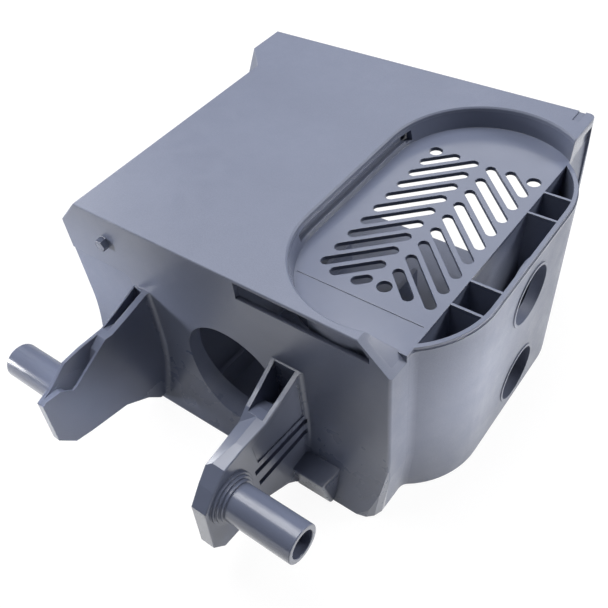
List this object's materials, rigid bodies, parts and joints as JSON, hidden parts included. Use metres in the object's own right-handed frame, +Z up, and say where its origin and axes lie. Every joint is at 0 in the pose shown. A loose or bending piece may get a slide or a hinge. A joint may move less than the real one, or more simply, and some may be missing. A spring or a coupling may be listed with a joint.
{
  "type": "injection moulded plastic housing",
  "caption": "Box-shaped moulded housing with a sunk grille tray on top, a pocketed side column, a round front port and forward arms with hollow pins.",
  "frame": {"origin": "on the flat base, below the left end of the top's front edge", "axes": "+X along the front wall towards the column, +Y from the front wall to the open rear, +Z up from the base"},
  "size_m": [0.2382, 0.2816, 0.1266],
  "materials": {
    "housing": "fine spark-eroded grain, smoother on the arms, pins and tray"
  },
  "bodies": {
    "root": {"housing": "housing"}
  },
  "joints": []
}
